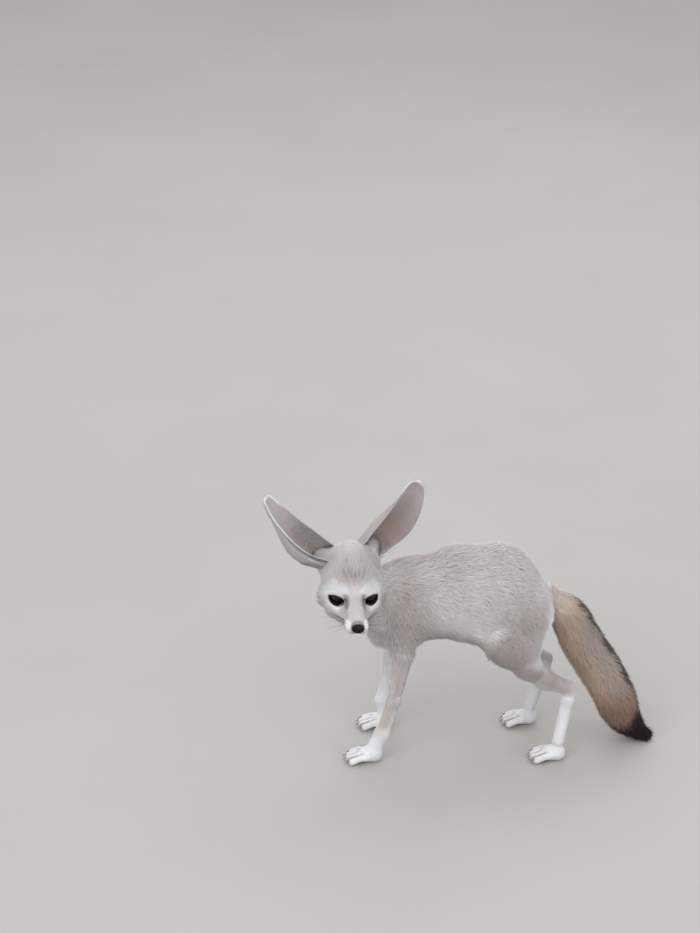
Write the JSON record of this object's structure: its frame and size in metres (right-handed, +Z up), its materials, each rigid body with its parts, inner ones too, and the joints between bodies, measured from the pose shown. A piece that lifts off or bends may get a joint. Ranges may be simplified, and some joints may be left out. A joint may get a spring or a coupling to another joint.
{
  "type": "fennec fox",
  "caption": "Still model of a fennec fox that stands with its head turned to its left, large ears spread and its brush hanging to the floor.",
  "frame": {"origin": "on the floor, under the middle of the whole model's box", "axes": "+Z up, -X to the nose end of the body, -Y to the fox's left side, where its head faces"},
  "size_m": [0.3676, 0.1436, 0.2952],
  "materials": {
    "coat_buff": "soft pale buff fur",
    "coat_face": "short cream fur with white cheeks and brows",
    "coat_pale": "short cream fur",
    "coat_white": "short white fur with dark claws",
    "coat_tail": "long cinnamon fur with a black tip",
    "ear": "thin skin with fine short fur and a white fringe",
    "nose": "moist black pebbled skin",
    "eye": "wet dark eye"
  },
  "bodies": {
    "root": {"ear_left": "ear", "ear_right": "ear", "eye_left": "eye", "eye_right": "eye", "foreleg_left": "coat_pale", "foreleg_right": "coat_pale", "forepaw_left": "coat_white", "forepaw_right": "coat_white", "head": "coat_face", "hindleg_left": "coat_pale", "hindleg_right": "coat_pale", "hindpaw_left": "coat_white", "hindpaw_right": "coat_white", "neck": "coat_buff", "nose": "nose", "tail": "coat_tail", "torso": "coat_buff"}
  },
  "joints": []
}
